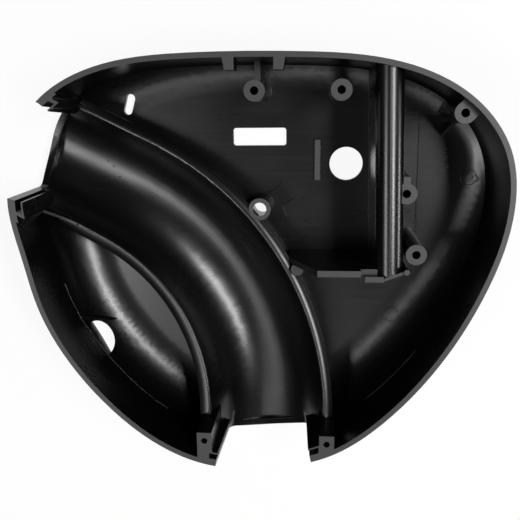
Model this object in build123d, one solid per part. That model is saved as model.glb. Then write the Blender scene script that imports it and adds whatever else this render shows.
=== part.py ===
"""Injection moulded half housing: one moulding, seen open side up.

A shallow egg-shaped shell with a pipe channel that bends through it, from a mouth
in its left wall to a mouth in its front wall.  The channel's side walls end in
rounded crests.  Behind the channel lies a flat panel with a window and round holes,
closed by a cross wall and by a tall cored ridge.  Screw pillars stand on the floor.

X runs along the housing, Y across it, and Z up out of the open side.  The origin is
under the middle of the outline, on the plane that the closed side rests on.
Places are stations: shares of the half length and of the half width.
"""
from build123d import *
import math
import os

# ---- shell, in millimetres and degrees ------------------------------------------
length = 221.0
width = 189.0
depth = 50.0
wall = 2.4
wall_draft = 1.0

# Rim outline, clockwise from the left mouth.  The third value is how far outside the
# wall the round-over starts there, so a small one rounds the wall over widely and a
# large one leaves it upright.
rim_stations = [
    (-0.948, 0.600, 1.0), (-0.852, 0.788, 3.0), (-0.640, 0.932, 7.0), (-0.265, 0.996, 12.0),
    (0.165, 0.996, 14.0), (0.560, 0.944, 14.0), (0.832, 0.788, 14.0), (0.974, 0.560, 14.0),
    (0.999, 0.290, 10.0), (0.921, -0.059, 5.0), (0.756, -0.426, 1.5), (0.532, -0.740, 1.0),
    (0.295, -0.934, 1.0), (0.060, -0.998, 1.0), (-0.220, -0.990, 1.0), (-0.427, -0.888, 1.0),
    (-0.633, -0.690, 1.0), (-0.801, -0.442, 1.0), (-0.911, -0.172, 1.0), (-0.957, 0.051, 1.0),
    (-0.998, 0.341, 1.0),
]
skirt_radius = 29.0

# ---- pipe channel ---------------------------------------------------------------
bend_radius = 123.3
bend_end = (0.030, -0.804)
entry_angle = 27.0
channel_radius = 27.6
channel_floor = 2.7
crest_height = 22.2
crest_slope = 5.25
crest_round = 1.1

# ---- mouths at the channel's ends -----------------------------------------------
left_mouth_at = (-0.932, 0.570)
front_mouth_at = (0.030, -0.990)
mouth_width = 42.0
mouth_floor = 4.4
mouth_sag = 3.6
mouth_corner = 5.0
mouth_draft = 2.5
left_mouth_rise = 3.0
collar = 3.4
flare_reach = 22.0
flare_taper = 12.0
jamb_depth = 6.8
jamb_width = 4.2
jamb_foot = 14.0
jamb_groove = 2.6
jamb_groove_depth = 2.8

# ---- openings in the panel ------------------------------------------------------
window_at = (-0.009, 0.607)
window_size = (26.0, 8.5)
window_corner = 1.3
device_hole_at = (0.374, 0.467)
device_hole = 16.2
slot_at = (-0.590, 0.777)
slot_size = (10.3, 4.1)
slot_angle = 72.0
cable_hole_at = (-0.751, -0.458)
cable_hole_size = (18.8, 5.1)
cable_hole_angle = 31.0

# ---- cross wall and ridge -------------------------------------------------------
cross_wall_y = -0.005
cross_wall_thickness = 2.9
cross_wall_top = 49.0
cross_wall_foot = 0.125
cross_wall_shoulder = 0.252
cross_wall_end = 0.424
cross_wall_heel = 20.0
end_block_at = (0.478, -0.030)
end_block_size = (8.2, 2.6)
end_rib = [(0.512, -0.036), (0.604, 0.005)]
end_post = 2.6
gate_stub_at = (0.165, -0.044)
gate_stub = 6.0
gate_stub_span = (16.0, 25.0)
ridge_at = 0.540
ridge_end = -0.018
ridge_width = 12.4
ridge_top = 48.0
ridge_lean = 1.4

# ---- pillars --------------------------------------------------------------------
pillar_top = 45.0
pillar_diameter = 9.2
pillar_hole = 3.6
pillar_hole_depth = 16.0
panel_pillar_at = (0.003, 0.831)
corner_pillar_at = (0.338, 0.831)
ridge_pillar_at = (0.597, 0.365)
foot_pillar_at = (0.643, 0.080)
wall_pillar_at = (0.806, 0.725)
through_pillar_at = (0.001, 0.254)
through_pillar_top = 20.5
through_pillar_diameter = 10.6
through_pillar_hole = 6.4
through_pillar_counterbore = 8.2
through_pillar_land = 3.0
panel_web_thickness = 2.6
panel_web_top = 28.0
ridge_tab_reach = 7.4
ridge_tab_thickness = 3.1
foot_gusset_angle = 115.0
foot_gusset_reach = 9.0
wall_web_angle = 45.0
wall_gusset_angle = -102.0
wall_gusset_reach = 12.0
wall_gusset_top = 27.0

# ---- blocks beside the front mouth ----------------------------------------------
block_width = 7.0
block_hole = 2.9
block_hole_depth = 14.0
left_block_at = (-0.222, -0.820)
right_block_at = (0.297, -0.820)
block_hole_inset = 4.1

# ---- corner blocks of the left mouth, and small ribs ----------------------------
upper_corner_at = (-0.781, 0.757)
lower_corner_at = (-0.939, 0.308)
lower_corner_angle = 32.0
thin_rib = 1.4
pocket_rib_at = (-0.860, -0.317)
pocket_rib_angle = -18.5
pocket_rib_reach = 25.6
pocket_rib_top = 20.0
floor_step_at = (0.686, 0.252)
floor_step_width = 86.5
floor_step = 0.4
stop_bar_at = (0.247, 0.487)
stop_bar_size = (2.6, 19.6, 1.5)
tab_drop = 12.0
tab_reach = 5.2
tab_gap = 16.6
tab_top_width = 5.4
tab_slope = 1.4
tabs_at = 0.005

SCREW_PILLARS = [
    panel_pillar_at, corner_pillar_at, ridge_pillar_at, foot_pillar_at, wall_pillar_at
]
MARGIN = 1.0
BIG = 2.0 * (length + width)


def place(station, z=0.0):
    """Point at a station, at height z."""
    return Vector(station[0] * length / 2, station[1] * width / 2, z)


def heading_of(angle):
    """Level unit vector at an angle from +X."""
    return Vector(math.cos(math.radians(angle)), math.sin(math.radians(angle)), 0)


# ---- shell ----------------------------------------------------------------------
def inward(index):
    """Unit vector into the shell at a rim station, square to its neighbours' chord."""
    before = place(rim_stations[index - 1])
    after = place(rim_stations[(index + 1) % len(rim_stations)])
    chord = (after - before).normalized()
    return Vector(chord.Y, -chord.X, 0)


def loop(inset, spread=0.0):
    """Face in the rim outline, moved in by inset and out by spread of its third values."""
    points = [
        place((u, v)) + inward(index) * (inset - spread * outset)
        for index, (u, v, outset) in enumerate(rim_stations)
    ]
    return make_face(Spline(points, periodic=True))


def wall_prism(inset, top=depth):
    """Solid inside the wall moved in by inset, with the wall's draft and a flat bottom."""
    rim = Pos(0, 0, depth) * loop(inset)
    prism = extrude(rim, amount=-depth - MARGIN, taper=wall_draft)
    if top > depth:
        prism += extrude(rim, amount=top - depth)
    return prism


def shell_solid(inset, top=depth):
    """The wall prism rounded over into a floor at the height of the inset."""
    skirt = extrude(Pos(0, 0, inset) * loop(inset, spread=1.0), amount=depth + MARGIN)
    edge = skirt.edges().group_by(Axis.Z)[0]
    return wall_prism(inset, top) & fillet(edge, radius=skirt_radius - inset)


# ---- channel --------------------------------------------------------------------
def channel_route():
    """Plan of the channel's middle line: straight in, round the bend, straight out."""
    end = place(bend_end)
    middle = end - Vector(bend_radius, 0, 0)
    bend = CenterArc(middle, bend_radius, 90 - entry_angle, entry_angle - 90)
    lead_in = Line(bend @ 0 - (bend % 0) * length / 2, bend @ 0)
    lead_out = Line(bend @ 1, bend @ 1 + (bend % 1) * width / 2)
    return Wire([lead_in, bend, lead_out])


def upright(origin, heading):
    """Plane through origin that faces along heading, with its Y axis up."""
    return Plane(origin=origin, x_dir=Vector(0, 0, 1).cross(heading), z_dir=heading)


def trough(radius, floor, top):
    """Solid that fills the channel: a half round of this radius, open upwards."""
    route = channel_route()
    middle = floor + radius
    profile = Pos(0, middle) * Circle(radius)
    profile += Pos(0, (middle + top) / 2) * Rectangle(2 * radius, top - middle)
    return sweep(upright(route @ 0, route % 0) * profile, path=route)


def crest_plane_box():
    """Everything above the sloping plane that the channel's walls end at."""
    box = Box(BIG, BIG, BIG, align=(Align.CENTER, Align.CENTER, Align.MIN))
    return Pos(0, 0, crest_height) * Rot(-crest_slope, 0, 0) * box


def channel_walls():
    """The half-round channel on its own, with rounded crests."""
    walls = trough(channel_radius + wall, channel_floor - wall, depth)
    walls -= trough(channel_radius, channel_floor, depth + MARGIN)
    walls -= crest_plane_box()
    slope = math.radians(crest_slope)
    up = Vector(0, math.sin(slope), math.cos(slope))
    flats = walls.faces().filter_by(GeomType.PLANE).filter_by(lambda f: f.normal_at().dot(up) > 0.999)
    edges = flats.edges().filter_by(lambda e: e.length > 2 * wall)
    return fillet(edges, radius=crest_round)


def mouth_profile(rise, grow):
    """Section of a mouth: an arched sill with round corners and drafted sides."""
    half = mouth_width / 2 + grow
    sill = mouth_floor + rise - grow
    low = sill + mouth_sag
    top = depth + flare_reach
    flare = (top - low) * math.tan(math.radians(mouth_draft))
    outline = [
        ThreePointArc((-half, low), (0, sill), (half, low)),
        Line((half, low), (half + flare, top)),
        Line((half + flare, top), (-half - flare, top)),
        Line((-half - flare, top), (-half, low)),
    ]
    profile = make_face(outline)
    return fillet(profile.vertices().group_by(Axis.Y)[0], radius=mouth_corner + grow)


def mouth_solid(station, heading, rise, grow=0.0):
    """A mouth's section carried straight along the channel, on both sides of the wall."""
    profile = upright(place(station), heading) * mouth_profile(rise, grow)
    return extrude(profile, amount=flare_reach, both=True)


def mouth_cut(station, heading, rise):
    """A mouth that is straight through the wall and narrows into the channel inside."""
    profile = upright(place(station), heading) * mouth_profile(rise, 0.0)
    return extrude(profile, amount=-flare_reach) + extrude(profile, amount=flare_reach, taper=flare_taper)


MOUTHS = [
    (left_mouth_at, heading_of(-entry_angle), left_mouth_rise),
    (front_mouth_at, heading_of(90.0), 0.0),
]


def collars():
    """Thickened wall round each mouth, as wide as the channel."""
    ring = wall_prism(0.0) - wall_prism(collar, depth + MARGIN)
    band = trough(channel_radius + wall, channel_floor - wall, depth)
    hoods = [mouth_solid(at, heading, rise, grow=wall) for at, heading, rise in MOUTHS]
    return (band & ring) + [hood & ring for hood in hoods]


def above(height):
    """Everything above a height."""
    return Pos(0, 0, height) * Box(BIG, BIG, BIG, align=(Align.CENTER, Align.CENTER, Align.MIN))


def jambs():
    """Thick posts on both sides of each mouth, from the channel's sides to the rim."""
    ring = wall_prism(0.0) - wall_prism(jamb_depth, depth + MARGIN)
    band = ring & above(jamb_foot)
    return [mouth_solid(at, heading, rise, grow=jamb_width) & band for at, heading, rise in MOUTHS]


def jamb_grooves():
    """Upright groove in each jamb, open to the mouth and at the rim."""
    inner = collar + jamb_groove
    ring = wall_prism(collar, depth + MARGIN) - wall_prism(inner, depth + MARGIN)
    band = ring & above(jamb_foot + thin_rib)
    return [mouth_solid(at, heading, rise, grow=jamb_groove_depth) & band for at, heading, rise in MOUTHS]


# ---- ribs, pillars and blocks ---------------------------------------------------
def web(start, end, thickness, top):
    """Upright wall from the floor to top, between two points in plan."""
    run = end - start
    frame = Plane(origin=start, x_dir=run, z_dir=Vector(0, 0, 1))
    box = Box(run.length, thickness, top - wall / 2, align=(Align.MIN, Align.CENTER, Align.MIN))
    return frame * Pos(0, 0, wall / 2) * box


def gusset(centre, heading, reach, top, thickness=thin_rib):
    """Triangular fin from a pillar's side down to the floor."""
    frame = Plane(origin=centre, x_dir=heading, z_dir=heading.cross(Vector(0, 0, 1)))
    low = wall / 2
    fin = Polyline((0, low), (reach, low), (pillar_diameter / 2, top), (0, top), close=True)
    return extrude(frame * make_face(fin), amount=thickness / 2, both=True)


def post(station, diameter, top):
    """Plain round pillar from the floor."""
    stand = Cylinder(diameter / 2, top - wall / 2, align=(Align.CENTER, Align.CENTER, Align.MIN))
    return Pos(place(station, wall / 2)) * stand


def pillars():
    """Screw pillars with the webs that tie them to the shell."""
    parts = [post(at, pillar_diameter, pillar_top) for at in SCREW_PILLARS]
    parts.append(post(through_pillar_at, through_pillar_diameter, through_pillar_top))
    back = Vector(0, 1, 0)
    panel = place(panel_pillar_at)
    ridge = place(ridge_pillar_at)
    corner = place(wall_pillar_at)
    to_wall = heading_of(wall_web_angle) * width / 4
    parts.append(web(panel, panel + back * width / 4, panel_web_thickness, panel_web_top))
    parts.append(web(ridge, ridge + back * ridge_tab_reach, ridge_tab_thickness, pillar_top))
    parts.append(web(corner, corner + to_wall, pillar_diameter, pillar_top))
    foot_fin = heading_of(foot_gusset_angle)
    parts.append(gusset(place(foot_pillar_at), foot_fin, foot_gusset_reach, pillar_top))
    wall_fin = heading_of(wall_gusset_angle)
    parts.append(gusset(corner, wall_fin, wall_gusset_reach, wall_gusset_top))
    return parts


def pillar_holes():
    """Blind screw holes from the pillars' tops, and the stepped hole through one."""
    holes = []
    for at in SCREW_PILLARS:
        holes.append(Pos(place(at, pillar_top)) * Cylinder(pillar_hole / 2, 2 * pillar_hole_depth))
    holes.append(Pos(place(through_pillar_at)) * Cylinder(through_pillar_hole / 2, BIG))
    sink = 2 * (through_pillar_top - through_pillar_land)
    holes.append(Pos(place(through_pillar_at)) * Cylinder(through_pillar_counterbore / 2, sink))
    return holes


def screw_blocks():
    """Blocks beside the front mouth that take the rim screws."""
    blocks = []
    for at in (left_block_at, right_block_at):
        face = place(at, wall / 2)
        size = (block_width, width / 4, depth - wall / 2)
        blocks.append(Pos(face) * Box(*size, align=(Align.CENTER, Align.MAX, Align.MIN)))
    return blocks


def block_holes():
    """Blind holes in the screw blocks' tops."""
    holes = []
    for at in (left_block_at, right_block_at):
        spot = place(at, depth) - Vector(0, block_hole_inset, 0)
        holes.append(Pos(spot) * Cylinder(block_hole / 2, 2 * block_hole_depth))
    return holes


def ridge_solid(inset, bottom):
    """Round-topped ridge from the cross wall to the back wall, moved in by inset."""
    half = ridge_width / 2 - inset
    shoulder = ridge_top - ridge_width / 2
    profile = Pos(0, shoulder) * Circle(half)
    profile += Pos(0, (shoulder + bottom) / 2) * Rectangle(2 * half, shoulder - bottom)
    back = heading_of(90.0 + ridge_lean)
    frame = upright(place((ridge_at, ridge_end)) + back * inset, back)
    return extrude(frame * profile, amount=width)


def ridge_core():
    """Groove in the closed side that cores the ridge, clear of the back wall."""
    return ridge_solid(wall, -MARGIN) & wall_prism(2 * wall)


def cross_wall():
    """Wall across the panel's front edge, from the channel's crest to the ridge."""
    foot = cross_wall_foot * length / 2
    shoulder = cross_wall_shoulder * length / 2
    notch = cross_wall_end * length / 2
    end = ridge_at * length / 2
    corners = [
        (foot, wall / 2), (end, wall / 2), (end, pillar_top), (notch, pillar_top),
        (notch, cross_wall_top), (shoulder, cross_wall_top), (foot, cross_wall_heel),
    ]
    frame = Plane(origin=place((0, cross_wall_y)), x_dir=Vector(1, 0, 0), z_dir=Vector(0, -1, 0))
    face = frame * make_face(Polyline(corners, close=True))
    return extrude(face, amount=cross_wall_thickness / 2, both=True)


def cross_wall_ends():
    """Block and slanting rib in front of the ridge's end, and the stub of the gate."""
    upright_box = (Align.CENTER, Align.CENTER, Align.MIN)
    block = Box(*end_block_size, cross_wall_top - wall / 2, align=upright_box)
    start, end = [place(at) for at in end_rib]
    low, high = gate_stub_span
    stub = Cylinder(gate_stub / 2, high - low, align=upright_box)
    return [
        Pos(place(end_block_at, wall / 2)) * block,
        web(start, end, thin_rib, ridge_top),
        post(end_rib[1], end_post, cross_wall_top),
        Pos(place(gate_stub_at, low)) * stub,
    ]


def clip_tabs():
    """Two sloped brackets under the back rim, with a gap between them."""
    tabs = []
    back = width / 2
    for sign in (-1, 1):
        near = tabs_at * length / 2 + sign * tab_gap / 2
        far = near + sign * tab_top_width
        tip = far - sign * tab_slope
        front = back - wall - tab_reach
        plan = Polyline((near, back), (near, front), (tip, front), (far, back), close=True)
        tabs.append(extrude(Pos(0, 0, depth) * make_face(plan), amount=-tab_drop))
    return tabs


def panel_openings():
    """Window, device hole, slot and half-round cable hole, straight through the closed side."""
    window = RectangleRounded(*window_size, window_corner)
    slot = Rot(0, 0, slot_angle) * SlotOverall(*slot_size)
    across, inwards = cable_hole_size
    half = Rectangle(across, across, align=(Align.MIN, Align.CENTER))
    cable = Rot(0, 0, cable_hole_angle) * (Ellipse(inwards, across / 2) & half)
    return [
        extrude(Pos(place(window_at)) * window, amount=depth / 2, both=True),
        extrude(Pos(place(slot_at)) * slot, amount=depth / 2, both=True),
        Pos(place(device_hole_at)) * Cylinder(device_hole / 2, depth / 2),
        extrude(Pos(place(cable_hole_at)) * cable, amount=depth / 2, both=True),
    ]


def stop_bar():
    """Low bar on the panel."""
    size_x, size_y, height = stop_bar_size
    bar = Box(size_x, size_y, wall / 2 + height, align=(Align.CENTER, Align.CENTER, Align.MIN))
    return Pos(place(stop_bar_at, wall / 2)) * bar


def floor_ribs():
    """Rib beside the cable hole and the low step of the floor near the wall."""
    heading = heading_of(pocket_rib_angle)
    step = Box(
        length / 2, floor_step_width, wall / 2 + floor_step, align=(Align.MIN, Align.CENTER, Align.MIN)
    )
    return [
        gusset(place(pocket_rib_at), heading, pocket_rib_reach, pocket_rib_top),
        Pos(place(floor_step_at, wall / 2)) * step,
    ]


def mouth_corners():
    """Solid corners on both sides of the left mouth, up to the rim."""
    tall = (Align.MAX, Align.MIN, Align.MIN)
    block = Box(width / 4, width / 4, depth - wall / 2, align=tall)
    upper = Pos(place(upper_corner_at, wall / 2)) * block
    lower = Pos(place(lower_corner_at, wall / 2)) * Rot(0, 0, lower_corner_angle) * block
    mouth = mouth_solid(*MOUTHS[0])
    return [upper - mouth, lower - mouth]


def housing():
    """The whole moulding."""
    outer = shell_solid(0.0)
    body = outer - shell_solid(wall, depth + MARGIN)
    body += channel_walls() & wall_prism(0.0)
    body += collars()
    bore = trough(channel_radius, channel_floor, depth + MARGIN)
    body -= bore & wall_prism(collar, depth + MARGIN)
    inside = [ridge_solid(0.0, wall / 2), cross_wall(), stop_bar()]
    inside += cross_wall_ends() + floor_ribs() + pillars() + screw_blocks() + clip_tabs()
    inside += mouth_corners() + jambs()
    body += (Part() + inside) & outer
    cuts = [mouth_cut(*mouth) for mouth in MOUTHS] + jamb_grooves()
    cuts += panel_openings() + pillar_holes() + block_holes()
    cuts.append(ridge_core())
    return body - cuts


os.makedirs("parts", exist_ok=True)
export_step(housing(), "parts/housing_shell.step")
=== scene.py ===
"""Moulded half housing, dressed for a studio picture.

Laid out as an add-on: each operator makes one piece or the stage, and the panel in
the sidebar lists them.  Sizes are in metres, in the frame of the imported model.
"""
import math

import bmesh
import bpy
from mathutils import Matrix, Vector


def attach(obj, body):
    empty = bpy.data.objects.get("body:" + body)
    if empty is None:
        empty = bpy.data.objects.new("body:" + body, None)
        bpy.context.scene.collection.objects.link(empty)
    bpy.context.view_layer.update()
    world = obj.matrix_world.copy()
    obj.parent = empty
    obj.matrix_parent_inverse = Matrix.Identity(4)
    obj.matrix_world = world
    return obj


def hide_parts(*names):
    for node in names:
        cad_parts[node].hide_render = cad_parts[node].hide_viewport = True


bl_info = {
    "name": "Moulded half housing",
    "version": (1, 0, 0),
    "blender": (4, 5, 0),
    "location": "View3D > Sidebar > Housing",
    "description": "Makes a black moulded half housing and the studio it lies in",
    "category": "Object",
}

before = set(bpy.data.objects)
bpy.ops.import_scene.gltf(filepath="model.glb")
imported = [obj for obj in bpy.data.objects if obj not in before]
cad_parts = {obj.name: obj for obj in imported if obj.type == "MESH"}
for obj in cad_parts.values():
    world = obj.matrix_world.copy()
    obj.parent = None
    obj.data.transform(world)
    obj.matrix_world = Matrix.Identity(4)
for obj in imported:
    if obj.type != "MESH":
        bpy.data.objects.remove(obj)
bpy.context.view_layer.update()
SHELL_NODE = "housing_shell"
MM = 0.001
MERGE_GAP = 0.001 * MM
PLASTIC = "black_abs_moulded_satin"

# Sockets of a Mix node by number, because its data types share their names.
COLOUR_A, COLOUR_B, COLOUR_OUT = 6, 7, 2
NUMBER_A, NUMBER_B, NUMBER_OUT = 2, 3, 0


# ---- colours and nodes ----------------------------------------------------------
def linear(hex_code):
    """sRGB hex text as the linear colour that Blender works in."""
    channels = [int(hex_code[i:i + 2], 16) / 255 for i in (1, 3, 5)]
    return tuple(
        c / 12.92 if c <= 0.04045 else ((c + 0.055) / 1.055) ** 2.4 for c in channels
    )


def add_node(tree, kind, links=(), **settings):
    """Adds a node. A setting named after an input fills it; links are (input, source socket)."""
    node = tree.nodes.new(kind)
    for key, value in settings.items():
        if hasattr(node, key):
            setattr(node, key, value)
        else:
            node.inputs[key.replace("_", " ")].default_value = value
    for name, source in links:
        tree.links.new(source, node.inputs[name])
    return node


def fresh_material(name):
    """An empty node material."""
    old = bpy.data.materials.get(name)
    if old:
        bpy.data.materials.remove(old)
    material = bpy.data.materials.new(name)
    material.use_nodes = True
    material.node_tree.nodes.clear()
    return material


# ---- materials ------------------------------------------------------------------
# Erosion grain is about 0.1 mm wide; drawn at 0.5 mm, the finest that still shows.
GRAIN_SIZE = 0.5 * MM
GRAIN_DEPTH = 0.05 * MM
# Flow lines of the melt, and how far they change the roughness.
FLOW_SPACING = 30 * MM
FLOW_CHANGE = 0.015
FLOW_RANGE = (0.35, 0.65)
# Tool marks of the milled steel, drawn out along the housing, and what they add to the roughness.
TOOL_MARK_SPACING = 1.5 * MM
TOOL_MARK_STRETCH = (0.04, 1.0, 1.0)
TOOL_MARK_RANGE = (0.45, 0.75)
TOOL_MARK_CHANGE = 0.02
# Faces within 3 degrees of level count as tops.
LEVEL_LIMIT = math.cos(math.radians(3))
# Paper-like tooth of the floor's laminate.
FLOOR_TOOTH = 1.0 * MM


def moulded_abs(settings):
    """Black ABS, injection moulded in a spark-eroded tool.

    The eroded steel leaves a fine even grain, so light spreads into soft broad
    highlights, and slow flow lines and handling make them a little uneven.
    """
    material = fresh_material(PLASTIC)
    tree = material.node_tree
    place = add_node(tree, "ShaderNodeTexCoord").outputs["Object"]
    grain = add_node(
        tree, "ShaderNodeTexNoise", [("Vector", place)], Scale=1 / GRAIN_SIZE, Detail=2.0
    )
    flow = add_node(
        tree, "ShaderNodeTexNoise", [("Vector", place)], Scale=1 / FLOW_SPACING, Detail=1.0
    )
    stretch = add_node(tree, "ShaderNodeMapping", [("Vector", place)], Scale=TOOL_MARK_STRETCH)
    rubs = add_node(
        tree, "ShaderNodeTexNoise", [("Vector", stretch.outputs[0])],
        Scale=1 / TOOL_MARK_SPACING, Detail=2.0,
    )
    uneven = add_node(
        tree, "ShaderNodeMapRange", [("Value", flow.outputs["Fac"])],
        From_Min=FLOW_RANGE[0], From_Max=FLOW_RANGE[1],
        To_Min=settings.roughness - FLOW_CHANGE, To_Max=settings.roughness + FLOW_CHANGE,
    )
    rubbed = add_node(
        tree, "ShaderNodeMapRange", [("Value", rubs.outputs["Fac"])],
        From_Min=TOOL_MARK_RANGE[0], From_Max=TOOL_MARK_RANGE[1],
        To_Min=0.0, To_Max=TOOL_MARK_CHANGE,
    )
    rough = add_node(
        tree, "ShaderNodeMath", [(0, uneven.outputs[0]), (1, rubbed.outputs[0])], operation="ADD"
    )
    rounded = add_node(tree, "ShaderNodeBevel", samples=6, Radius=settings.edge_radius)
    bump = add_node(
        tree, "ShaderNodeBump",
        [("Height", grain.outputs["Fac"]), ("Normal", rounded.outputs[0])],
        Strength=settings.grain_strength, Distance=GRAIN_DEPTH,
    )
    tint = add_node(tree, "ShaderNodeMix", [("Factor", flow.outputs["Fac"])], data_type="RGBA")
    tint.inputs[COLOUR_A].default_value = (*linear(settings.dark_hex), 1.0)
    tint.inputs[COLOUR_B].default_value = (*linear(settings.light_hex), 1.0)
    # Level tops are painted paler: a painted highlight for the light falling on them from above.
    tops = level_tops(tree, place, settings)
    shade = add_node(
        tree, "ShaderNodeMix", [("Factor", tops), (COLOUR_A, tint.outputs[COLOUR_OUT])],
        data_type="RGBA",
    )
    shade.inputs[COLOUR_B].default_value = (*linear(settings.top_sheen_hex), 1.0)
    finish = add_node(
        tree, "ShaderNodeMix", [(0, tops), (NUMBER_A, rough.outputs[0])], data_type="FLOAT"
    )
    finish.inputs[NUMBER_B].default_value = settings.top_roughness
    surface = add_node(
        tree, "ShaderNodeBsdfPrincipled",
        [
            ("Base Color", shade.outputs[COLOUR_OUT]),
            ("Roughness", finish.outputs[NUMBER_OUT]),
            ("Normal", bump.outputs[0]),
        ],
        IOR=1.54,
    )
    add_node(tree, "ShaderNodeOutputMaterial", [("Surface", surface.outputs[0])])
    return material


def level_tops(tree, place, settings):
    """Mask that is 1 on level faces well over the floor and 0 elsewhere.

    These are rims, pillar tops and rib tops. They get a paler colour, a painted highlight for the light that falls
    on them from above, and the tool leaves them more matt.
    """
    height = add_node(tree, "ShaderNodeSeparateXYZ", [("Vector", place)])
    facing = add_node(tree, "ShaderNodeNewGeometry")
    upward = add_node(tree, "ShaderNodeSeparateXYZ", [("Vector", facing.outputs["True Normal"])])
    high = add_node(tree, "ShaderNodeMath", [(0, height.outputs["Z"])], operation="GREATER_THAN")
    high.inputs[1].default_value = settings.top_height
    level = add_node(tree, "ShaderNodeMath", [(0, upward.outputs["Z"])], operation="GREATER_THAN")
    level.inputs[1].default_value = LEVEL_LIMIT
    both = add_node(tree, "ShaderNodeMath", [(0, high.outputs[0]), (1, level.outputs[0])], operation="MULTIPLY")
    return both.outputs[0]


def studio_floor(settings):
    """Matt white laminate sweep: an even pale ground that keeps a faint shadow."""
    material = fresh_material("white_laminate_matt")
    tree = material.node_tree
    place = add_node(tree, "ShaderNodeTexCoord").outputs["Object"]
    tooth = add_node(
        tree, "ShaderNodeTexNoise", [("Vector", place)], Scale=1 / FLOOR_TOOTH, Detail=2.0
    )
    bump = add_node(tree, "ShaderNodeBump", [("Height", tooth.outputs["Fac"])], Strength=0.05, Distance=0.1 * MM)
    matt = add_node(
        tree, "ShaderNodeBsdfPrincipled", [("Normal", bump.outputs[0])],
        Base_Color=(*linear(settings.floor_hex), 1.0), Roughness=0.8,
    )
    glow = add_node(tree, "ShaderNodeEmission", Color=(*linear(settings.floor_hex), 1.0), Strength=1.0)
    path = add_node(tree, "ShaderNodeLightPath")
    seen = add_node(
        tree, "ShaderNodeMath", [(0, path.outputs["Is Camera Ray"]), (1, path.outputs["Is Glossy Ray"])],
        operation="MAXIMUM",
    )
    share = add_node(tree, "ShaderNodeMath", [(0, seen.outputs[0])], operation="MULTIPLY")
    share.inputs[1].default_value = settings.floor_glow
    mixed = add_node(
        tree, "ShaderNodeMixShader", [(0, share.outputs[0]), (1, matt.outputs[0]), (2, glow.outputs[0])]
    )
    add_node(tree, "ShaderNodeOutputMaterial", [("Surface", mixed.outputs[0])])
    return material


# ---- sizes and colours a user would change --------------------------------------
class HousingSettings(bpy.types.PropertyGroup):
    """Looks of the moulding."""
    dark_hex: bpy.props.StringProperty(
        name="Darkest plastic", description="sRGB hex of the plastic's darkest parts", default="#050505")
    light_hex: bpy.props.StringProperty(
        name="Lightest plastic", description="sRGB hex of the plastic's lightest parts", default="#080808")
    # Paler colour of the level tops: a painted highlight for the light falling on them from above.
    top_sheen_hex: bpy.props.StringProperty(
        name="Level tops", description="sRGB hex of rims, pillar tops and rib tops", default="#363637")
    top_roughness: bpy.props.FloatProperty(
        name="Roughness of tops", description="How far highlights spread there", default=0.5, min=0.1, max=1.0,
        subtype="FACTOR")
    top_height: bpy.props.FloatProperty(
        name="Height of tops", description="Level faces over this height count as tops", default=3.2 * MM,
        unit="LENGTH")
    roughness: bpy.props.FloatProperty(
        name="Roughness", description="How far highlights spread", default=0.28, min=0.1, max=1.0, subtype="FACTOR")
    grain_strength: bpy.props.FloatProperty(
        name="Grain", description="Depth of the eroded grain", default=0.05, min=0.0, max=1.0, subtype="FACTOR")
    edge_radius: bpy.props.FloatProperty(
        name="Edge radius", description="Rounding of the moulded edges", default=0.25 * MM, min=0.0,
        unit="LENGTH")
    shoulder_reach: bpy.props.FloatProperty(
        name="Shoulder reach", description="How far the crests' rounded shoulders reach", default=4.2 * MM,
        unit="LENGTH")
    panel_reach: bpy.props.FloatProperty(
        name="Panel shoulder reach", description="How far the panel side's shoulder reaches", default=3.2 * MM,
        unit="LENGTH")
    shoulder_slope: bpy.props.FloatProperty(
        name="Shoulder slope", description="Slope at the shoulder's outer edge", default=math.radians(24),
        subtype="ANGLE")
    panel_slope: bpy.props.FloatProperty(
        name="Panel shoulder slope", description="Slope at the outer edge on the panel side",
        default=math.radians(36), subtype="ANGLE")
    shoulder_roll: bpy.props.FloatProperty(
        name="Shoulder edge", description="Radius of the shoulder's outer edge", default=0.5 * MM, unit="LENGTH")
    shoulder_depth: bpy.props.FloatProperty(
        name="Shoulder depth", description="Depth at which a shoulder runs into the wall", default=12 * MM,
        unit="LENGTH")
    shoulder_lead_out: bpy.props.FloatProperty(
        name="Shoulder end", description="How far a shoulder runs past the bend", default=2 * MM, unit="LENGTH")
    panel_lead_in: bpy.props.FloatProperty(
        name="Panel shoulder start", description="How far the panel's shoulder runs before the bend",
        default=38 * MM, unit="LENGTH")
    pocket_lead_in: bpy.props.FloatProperty(
        name="Pocket shoulder start", description="How far the pocket's shoulder runs before the bend",
        default=24 * MM, unit="LENGTH")
    ledge_width: bpy.props.FloatProperty(
        name="Ledge width", description="Width of the ledge on the crest", default=1.7 * MM, unit="LENGTH")
    ledge_height: bpy.props.FloatProperty(
        name="Ledge height", description="Height of the ledge over the crest", default=1.8 * MM, unit="LENGTH")
    witness_radius: bpy.props.FloatProperty(
        name="Witness line", description="Radius of the witness lines", default=0.16 * MM, unit="LENGTH")
    hair_radius: bpy.props.FloatProperty(
        name="Hair line", description="Radius of the hair lines and rings", default=0.2 * MM, unit="LENGTH")
    nib_radius: bpy.props.FloatProperty(
        name="Nib", description="Radius of the small nibs", default=0.4 * MM, unit="LENGTH")
    smooth_angle: bpy.props.FloatProperty(
        name="Sharp angle", description="Edges turned by more than this stay sharp", default=math.radians(28),
        subtype="ANGLE")


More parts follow.
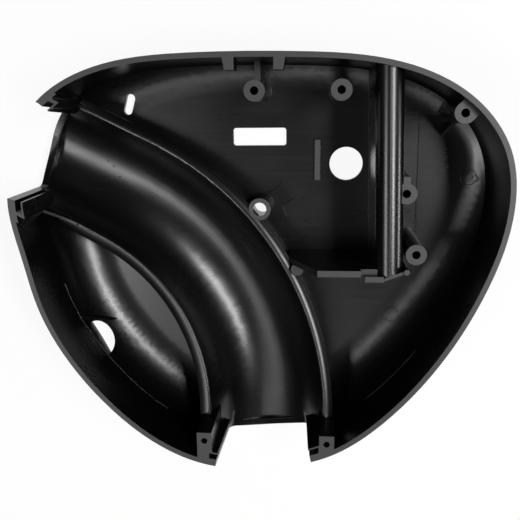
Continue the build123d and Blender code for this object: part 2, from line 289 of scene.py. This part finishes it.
class StudioSettings(bpy.types.PropertyGroup):
    """Floor, lamps and camera."""
    floor_hex: bpy.props.StringProperty(
        name="Floor colour", description="sRGB hex of the floor", default="#ffffff")
    floor_glow: bpy.props.FloatProperty(
        name="Floor glow", description="Share of the floor seen at its own colour, whatever the shadow",
        default=0.9, min=0.0, max=1.0, subtype="FACTOR")
    floor_size: bpy.props.FloatProperty(
        name="Floor size", description="Side of the square floor", default=4.0, unit="LENGTH")
    camera_height: bpy.props.FloatProperty(
        name="Camera height", description="Height of the lens over the floor", default=0.350, unit="LENGTH")
    world_strength: bpy.props.FloatProperty(
        name="Room light", description="Even light from all round", default=0.015, min=0.0)


# ---- the moulding ---------------------------------------------------------------
class HOUSING_OT_shell(bpy.types.Operator):
    """Make the moulded shell with smooth surfaces and its plastic"""
    bl_idname = "housing.shell"
    bl_label = "Moulded shell"

    def execute(self, context):
        settings = context.scene.housing
        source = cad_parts[SHELL_NODE]
        piece = bpy.data.objects.new("moulded_shell", source.data.copy())
        context.scene.collection.objects.link(piece)
        mesh = piece.data
        if "custom_normal" in mesh.attributes:
            mesh.attributes.remove(mesh.attributes["custom_normal"])
        weld(mesh)
        mesh.shade_smooth()
        mesh.set_sharp_from_angle(angle=settings.smooth_angle)
        flat = piece.modifiers.new("flat_faces_lead", "WEIGHTED_NORMAL")
        flat.keep_sharp = True
        mesh.materials.clear()
        mesh.materials.append(moulded_abs(settings))
        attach(piece, "root")
        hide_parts(SHELL_NODE)
        return {"FINISHED"}


def weld(mesh, turn_outwards=False):
    """Joins loose triangles at their shared corners, and can turn every face outwards."""
    work = bmesh.new()
    work.from_mesh(mesh)
    bmesh.ops.remove_doubles(work, verts=work.verts, dist=MERGE_GAP)
    if turn_outwards:
        bmesh.ops.recalc_face_normals(work, faces=work.faces)
    work.to_mesh(mesh)
    work.free()
    mesh.update()


# ---- fine detail of the moulding ------------------------------------------------
# The channel's route in plan: a lead-in, a bend about a centre, and a lead-out, in metres.
BEND_CENTRE = Vector((-120.0 * MM, -75.95 * MM))
BEND_RADIUS = 123.3 * MM
ENTRY_ANGLE = math.radians(27)
CHANNEL_RADIUS = 27.6 * MM
CHANNEL_AXIS_Z = 30.3 * MM
CHANNEL_WALL = 2.4 * MM
# The crests are the channel's upper edges. They fall towards the back wall by this slope.
CREST_HEIGHT = 22.2 * MM
CREST_SLOPE = math.radians(5.25)
# A crest's height and its distance from the axis depend on each other; they settle in this
# many rounds.
SETTLING_ROUNDS = 4
CREST_POINTS = 90
PANEL_SIDE, POCKET_SIDE = 1, -1


def crest_point(side, travel):
    """Point on a crest, this far along the channel's route from the bend's start."""
    start = math.pi / 2 - ENTRY_ANGLE
    turned = min(max(travel / BEND_RADIUS, 0.0), start)
    angle = start - turned
    out = Vector((math.cos(angle), math.sin(angle)))
    along = Vector((math.sin(angle), -math.cos(angle)))
    straight = travel - turned * BEND_RADIUS
    point = BEND_CENTRE + out * BEND_RADIUS + along * straight
    height = CREST_HEIGHT
    for _ in range(SETTLING_ROUNDS):
        half = math.sqrt(CHANNEL_RADIUS ** 2 - (CHANNEL_AXIS_Z - height) ** 2) + CHANNEL_WALL / 2
        spot = point + out * side * half
        height = CREST_HEIGHT - math.tan(CREST_SLOPE) * spot.y
    return Vector((spot.x, spot.y, height))


def crest_run(side, start, end, count):
    """Points along a crest between two distances from the bend's start."""
    return [crest_point(side, start + (end - start) * k / (count - 1)) for k in range(count)]


def curve_of(name, runs, cyclic=False):
    """Curve object with one spline of straight segments through the points of each run."""
    curve = bpy.data.curves.new(name, "CURVE")
    curve.dimensions = "3D"
    for run in runs:
        spline = curve.splines.new("POLY")
        spline.points.add(len(run) - 1)
        for spot, place in zip(spline.points, run):
            spot.co = (*place, 1.0)
        spline.use_cyclic_u = cyclic
    obj = bpy.data.objects.new(name, curve)
    bpy.context.scene.collection.objects.link(obj)
    return obj


def fresh_tree(name, inputs):
    """Empty geometry node tree with these inputs (name, socket type)."""
    tree = bpy.data.node_groups.new(name, "GeometryNodeTree")
    tree.interface.new_socket("Geometry", in_out="OUTPUT", socket_type="NodeSocketGeometry")
    tree.interface.new_socket("Geometry", in_out="INPUT", socket_type="NodeSocketGeometry")
    for label, kind in inputs:
        tree.interface.new_socket(label, in_out="INPUT", socket_type=kind)
    return tree


def finish_tree(tree, geometry, material):
    """Ends a tree in Realize Instances and Set Material."""
    real = add_node(tree, "GeometryNodeRealizeInstances", [("Geometry", geometry)])
    dressed = add_node(tree, "GeometryNodeSetMaterial", [("Geometry", real.outputs[0]), ("Material", material)])
    add_node(tree, "NodeGroupOutput", [("Geometry", dressed.outputs[0])])


def sweep_tree():
    """Carries a profile upright along every spline."""
    tree = fresh_tree("swept_strip", [("Profile", "NodeSocketObject"), ("Material", "NodeSocketMaterial")])
    given = add_node(tree, "NodeGroupInput")
    upright = add_node(tree, "GeometryNodeSetCurveNormal", [("Curve", given.outputs["Geometry"])], mode="Z_UP")
    section = add_node(tree, "GeometryNodeObjectInfo", [("Object", given.outputs["Profile"])])
    swept = add_node(
        tree, "GeometryNodeCurveToMesh",
        [("Curve", upright.outputs[0]), ("Profile Curve", section.outputs["Geometry"])],
        Fill_Caps=True,
    )
    finish_tree(tree, swept.outputs[0], given.outputs["Material"])
    return tree


def nib_tree():
    """Puts a low dome on every point."""
    tree = fresh_tree("low_domes", [("Radius", "NodeSocketFloat"), ("Material", "NodeSocketMaterial")])
    given = add_node(tree, "NodeGroupInput")
    dome = add_node(tree, "GeometryNodeMeshUVSphere", Segments=12, Rings=8, Radius=1.0)
    spots = add_node(tree, "GeometryNodeMeshToPoints", [("Mesh", given.outputs["Geometry"])])
    size = add_node(tree, "ShaderNodeCombineXYZ", [("X", given.outputs["Radius"]), ("Y", given.outputs["Radius"]),
                                                   ("Z", given.outputs["Radius"])])
    put = add_node(
        tree, "GeometryNodeInstanceOnPoints",
        [("Points", spots.outputs[0]), ("Instance", dome.outputs[0]), ("Scale", size.outputs[0])],
    )
    finish_tree(tree, put.outputs[0], given.outputs["Material"])
    return tree


def grown(source, name, tree, **inputs):
    """Runs a tree on an object and returns the result as a plain mesh object."""
    modifier = source.modifiers.new("grow", "NODES")
    modifier.node_group = tree
    sockets = {item.name: item.identifier for item in tree.interface.items_tree if item.in_out == "INPUT"}
    for label, value in inputs.items():
        modifier[sockets[label]] = value
    graph = bpy.context.evaluated_depsgraph_get()
    mesh = bpy.data.meshes.new_from_object(source.evaluated_get(graph))
    source.modifiers.remove(modifier)
    bpy.data.objects.remove(source)
    piece = bpy.data.objects.new(name, mesh)
    bpy.context.scene.collection.objects.link(piece)
    return piece


def seat(piece, smooth_degrees=40):
    """Shades a detail of the moulding and lets it ride with the shell."""
    weld(piece.data, turn_outwards=True)
    piece.data.shade_smooth()
    piece.data.set_sharp_from_angle(angle=math.radians(smooth_degrees))
    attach(piece, "root")


def sweep(name, runs, profile, cyclic=False):
    """Piece made by carrying a closed profile along each run."""
    # A swept profile's X axis points to the right of the run and its Y axis down.
    section = curve_of(name + "_profile", [[Vector((-left, -up, 0)) for left, up in profile]], cyclic=True)
    piece = grown(curve_of(name + "_path", runs, cyclic), name, sweep_tree(), Profile=section,
                  Material=bpy.data.materials[PLASTIC])
    bpy.data.objects.remove(section)
    return piece


def round_section(radius, sides=10):
    """Round profile."""
    turns = [math.tau * k / sides for k in range(sides)]
    return [(radius * math.cos(turn), radius * math.sin(turn)) for turn in turns]


# A shoulder leaves the crest at this slope, and its edge rolls under through these turns.
SHOULDER_FIRST_SLOPE = math.radians(6)
SHOULDER_STEPS = 10
SHOULDER_ROLL_DEGREES = (30, 60, 90, 120, 150)


def shoulder_section(settings, side, reach, slope):
    """Shoulder of a crest: it falls away ever more steeply from the crest, then rolls under."""
    first, last = math.tan(SHOULDER_FIRST_SLOPE), math.tan(slope)
    across = [reach * k / SHOULDER_STEPS for k in range(SHOULDER_STEPS + 1)]
    top = [(x, -first * x - (last - first) * x * x / (2 * reach)) for x in across]
    low = top[-1][1]
    roll = settings.shoulder_roll
    turned = [math.radians(a) for a in SHOULDER_ROLL_DEGREES]
    edge = [(reach + roll * math.sin(a), low - roll * (1 - math.cos(a))) for a in turned]
    root = low - settings.shoulder_depth
    under = [(CHANNEL_WALL / 3, root), (-CHANNEL_WALL / 5, root)]
    return [(side * x, y) for x, y in top + edge + under]


class HOUSING_OT_crest_shoulders(bpy.types.Operator):
    """Make the rounded shoulders on the outer sides of both crests"""
    bl_idname = "housing.crest_shoulders"
    bl_label = "Crest shoulders"

    def execute(self, context):
        settings = context.scene.housing
        end = BEND_RADIUS * (math.pi / 2 - ENTRY_ANGLE) + settings.shoulder_lead_out
        for name, side, start, reach, slope in (
            ("panel", PANEL_SIDE, -settings.panel_lead_in, settings.panel_reach, settings.panel_slope),
            ("pocket", POCKET_SIDE, -settings.pocket_lead_in, settings.shoulder_reach, settings.shoulder_slope),
        ):
            run = crest_run(side, start, end, CREST_POINTS)
            section = shoulder_section(settings, side, reach, slope)
            seat(sweep("crest_shoulder_" + name, [run], section))
        return {"FINISHED"}


# Places in plan, in millimetres.
LEDGE = [(-105.4, 23.1), (-104.0, 22.6), (-100.0, 21.3), (-95.8, 19.7), (-92.3, 18.3), (-89.0, 16.7)]
HAIR_LINES = [
    [(10.3, 36.8), (8.9, 33.6), (6.0, 31.5), (3.2, 30.2)],
    [(16.3, 27.7), (13.2, 25.4), (10.3, 24.0), (11.0, 20.8), (12.4, 17.9)],
]
NIBS = [(20.4, 27.2), (9.9, 16.4), (21.9, 15.6), (22.0, 7.6), (25.9, 7.0), (39.7, 5.0),
        (-77.7, 45.8), (-74.8, 43.2), (-72.1, 37.7)]
RINGS = [(100.2, 37.5, 3.7), (103.2, 36.9, 1.4), (65.2, -32.1, 3.5)]
# Where the floor's fillet meets the wall, and its height there.
WITNESS_HEIGHT = 19.6
WITNESS_LINES = [
    [(-98.4, -13.8), (-95.8, -21.4), (-91.0, -31.5), (-84.5, -42.4), (-76.3, -53.7),
     (-67.3, -63.7), (-60.6, -70.2), (-53.9, -75.8), (-48.2, -79.8)],
    [(75.9, -45.3), (72.2, -50.1), (68.3, -54.7), (62.8, -61.3), (57.6, -66.5), (52.5, -71.5)],
]
# Rays that look for the floor start here, over the rim, in metres.
RAY_HEIGHT = 0.1
HAIR_SIDES = 8
RING_POINTS = 28
# The ledge narrows to this share at its top, and its root goes down by this many heights.
LEDGE_TAPER = 0.8
LEDGE_ROOT = 2


def on_shell(x, y):
    """The moulding's surface below this place in plan, in metres."""
    shell = bpy.data.objects["moulded_shell"]
    above = Vector((x * MM, y * MM, RAY_HEIGHT))
    found, spot, _, _ = shell.ray_cast(above, Vector((0, 0, -1)))
    if not found:
        raise RuntimeError(f"there is no moulding below {x}, {y}")
    return spot


def on_wall(x, y, z):
    """The nearest spot of the moulding's surface, in metres."""
    shell = bpy.data.objects["moulded_shell"]
    found, spot, _, _ = shell.closest_point_on_mesh(Vector((x, y, z)) * MM)
    if not found:
        raise RuntimeError(f"there is no moulding near {x}, {y}, {z}")
    return spot


class HOUSING_OT_crest_ledge(bpy.types.Operator):
    """Make the narrow ledge along the crest beside the left mouth"""
    bl_idname = "housing.crest_ledge"
    bl_label = "Crest ledge"

    def execute(self, context):
        settings = context.scene.housing
        width, height = settings.ledge_width / 2, settings.ledge_height
        run = [on_shell(x, y) for x, y in LEDGE]
        level = max(spot.z for spot in run[1:])
        run = [Vector((spot.x, spot.y, level)) for spot in run]
        root, top = -LEDGE_ROOT * height, width * LEDGE_TAPER
        profile = [(-width, root), (width, root), (top, height), (-top, height)]
        seat(sweep("crest_ledge", [run], profile), smooth_degrees=20)
        return {"FINISHED"}


class HOUSING_OT_witness_lines(bpy.types.Operator):
    """Make the fine raised lines the tool's joints leave on the walls"""
    bl_idname = "housing.witness_lines"
    bl_label = "Witness lines"

    def execute(self, context):
        settings = context.scene.housing
        runs = [[on_wall(*place, WITNESS_HEIGHT) for place in line] for line in WITNESS_LINES]
        seat(sweep("witness_lines", runs, round_section(settings.witness_radius)))
        return {"FINISHED"}


class HOUSING_OT_floor_marks(bpy.types.Operator):
    """Make the hair lines, pin rings and small nibs on the floor"""
    bl_idname = "housing.floor_marks"
    bl_label = "Floor marks"

    def execute(self, context):
        settings = context.scene.housing
        hair = [[on_shell(*place) for place in line] for line in HAIR_LINES]
        seat(sweep("hair_lines", hair, round_section(settings.hair_radius, HAIR_SIDES)))
        turns = [math.tau * k / RING_POINTS for k in range(RING_POINTS)]
        rings = [
            [on_shell(x + r * math.cos(a), y + r * math.sin(a)) for a in turns] for x, y, r in RINGS
        ]
        section = round_section(settings.hair_radius, HAIR_SIDES)
        seat(sweep("pin_rings", rings, section, cyclic=True))
        dots = bpy.data.meshes.new("nib_places")
        dots.from_pydata([tuple(on_shell(*place)) for place in NIBS], [], [])
        places = bpy.data.objects.new("nib_places", dots)
        context.scene.collection.objects.link(places)
        seat(grown(places, "floor_nibs", nib_tree(), Radius=settings.nib_radius,
                   Material=bpy.data.materials[PLASTIC]))
        return {"FINISHED"}


# ---- the studio -----------------------------------------------------------------
# Softboxes that face the middle of the part, each a metre or so away: name, azimuth from +X
# and elevation in degrees, distance, width and height in metres, power in watts.
SOFTBOXES = [
    ("softbox_right", 8.0, 61.0, 1.00, 0.52, 0.16, 7.0),
    ("softbox_left", -166.0, 62.0, 1.00, 0.36, 0.18, 2.3),
    ("softbox_front", -112.0, 61.0, 1.00, 0.85, 0.26, 1.5),
    ("softbox_overhead", -110.0, 82.0, 1.00, 0.50, 0.30, 0.05),
    ("softbox_low_right", -5.0, 11.0, 1.00, 0.30, 0.14, 2.0),
]
# The camera stands over this place in plan. Its frame and focal length are in pixels, as is
# the spot in the frame that is right below it.
CAMERA_XY = (28.327 * MM, 72.287 * MM)
FRAME_PX = 520
FOCAL_PX = 700
BELOW_CAMERA_PX = (320, 105)
SENSOR_MM = 36.0


class HOUSING_OT_studio(bpy.types.Operator):
    """Make the floor, the lamps and the camera"""
    bl_idname = "housing.studio"
    bl_label = "Studio"

    def execute(self, context):
        settings = context.scene.studio
        make_floor(context, settings)
        for box in SOFTBOXES:
            make_softbox(context, *box)
        make_world(context, settings)
        make_camera(context, settings)
        context.scene.view_settings.view_transform = "Standard"
        return {"FINISHED"}


def make_floor(context, settings):
    """Square floor under the closed side."""
    half = settings.floor_size / 2
    corners = [(-half, -half, 0), (half, -half, 0), (half, half, 0), (-half, half, 0)]
    mesh = bpy.data.meshes.new("floor")
    mesh.from_pydata(corners, [], [(0, 1, 2, 3)])
    mesh.materials.append(studio_floor(settings))
    floor = bpy.data.objects.new("floor", mesh)
    context.scene.collection.objects.link(floor)


def make_softbox(context, name, azimuth, elevation, distance, width, height, power):
    """Rectangular lamp that faces the middle of the part."""
    lamp = bpy.data.lights.new(name, "AREA")
    lamp.shape = "RECTANGLE"
    lamp.size, lamp.size_y, lamp.energy = width, height, power
    turn, lift = math.radians(azimuth), math.radians(elevation)
    away = Vector((math.cos(lift) * math.cos(turn), math.cos(lift) * math.sin(turn), math.sin(lift)))
    obj = bpy.data.objects.new(name, lamp)
    obj.location = distance * away
    obj.rotation_euler = (-away).to_track_quat("-Z", "Y").to_euler()
    context.scene.collection.objects.link(obj)


def make_world(context, settings):
    """Even pale room."""
    world = bpy.data.worlds.new("room")
    world.use_nodes = True
    world.node_tree.nodes.clear()
    glow = add_node(world.node_tree, "ShaderNodeBackground", Strength=settings.world_strength)
    add_node(world.node_tree, "ShaderNodeOutputWorld", [("Surface", glow.outputs[0])])
    context.scene.world = world


def make_camera(context, settings):
    """Camera over the open side, turned so that the point right below it is off centre."""
    lens = bpy.data.cameras.new("camera")
    lens.sensor_width = SENSOR_MM
    lens.lens = SENSOR_MM * FOCAL_PX / FRAME_PX
    lens.clip_start = 0.01
    lens.dof.use_dof = False
    camera = bpy.data.objects.new("camera", lens)
    middle = FRAME_PX / 2
    below = Vector((BELOW_CAMERA_PX[0] - middle, middle - BELOW_CAMERA_PX[1], -FOCAL_PX)).normalized()
    turn = below.rotation_difference(Vector((0, 0, -1)))
    camera.matrix_world = Matrix.Translation((*CAMERA_XY, settings.camera_height)) @ turn.to_matrix().to_4x4()
    context.scene.collection.objects.link(camera)
    context.scene.camera = camera


# ---- sidebar --------------------------------------------------------------------
class HOUSING_PT_panel(bpy.types.Panel):
    """Lists the pieces and their sizes"""
    bl_label = "Moulded half housing"
    bl_idname = "HOUSING_PT_panel"
    bl_space_type = "VIEW_3D"
    bl_region_type = "UI"
    bl_category = "Housing"

    def draw(self, context):
        for group, settings, operators in (
            (context.scene.housing, HousingSettings, (
                HOUSING_OT_shell, HOUSING_OT_crest_shoulders, HOUSING_OT_crest_ledge,
                HOUSING_OT_witness_lines, HOUSING_OT_floor_marks)),
            (context.scene.studio, StudioSettings, (HOUSING_OT_studio,)),
        ):
            for name in settings.__annotations__:
                self.layout.prop(group, name)
            for operator in operators:
                self.layout.operator(operator.bl_idname)


CLASSES = (
    HousingSettings, StudioSettings, HOUSING_OT_shell, HOUSING_OT_crest_shoulders, HOUSING_OT_crest_ledge,
    HOUSING_OT_witness_lines, HOUSING_OT_floor_marks, HOUSING_OT_studio, HOUSING_PT_panel,
)


def register():
    """Adds the classes and the settings."""
    for cls in CLASSES:
        bpy.utils.register_class(cls)
    bpy.types.Scene.housing = bpy.props.PointerProperty(type=HousingSettings)
    bpy.types.Scene.studio = bpy.props.PointerProperty(type=StudioSettings)


def unregister():
    """Takes them away again."""
    del bpy.types.Scene.studio
    del bpy.types.Scene.housing
    for cls in reversed(CLASSES):
        bpy.utils.unregister_class(cls)


def main():
    """Makes the pieces and the studio."""
    register()
    bpy.ops.housing.shell()
    bpy.ops.housing.crest_shoulders()
    bpy.ops.housing.crest_ledge()
    bpy.ops.housing.witness_lines()
    bpy.ops.housing.floor_marks()
    bpy.ops.housing.studio()


if __name__ == "__main__":
    main()
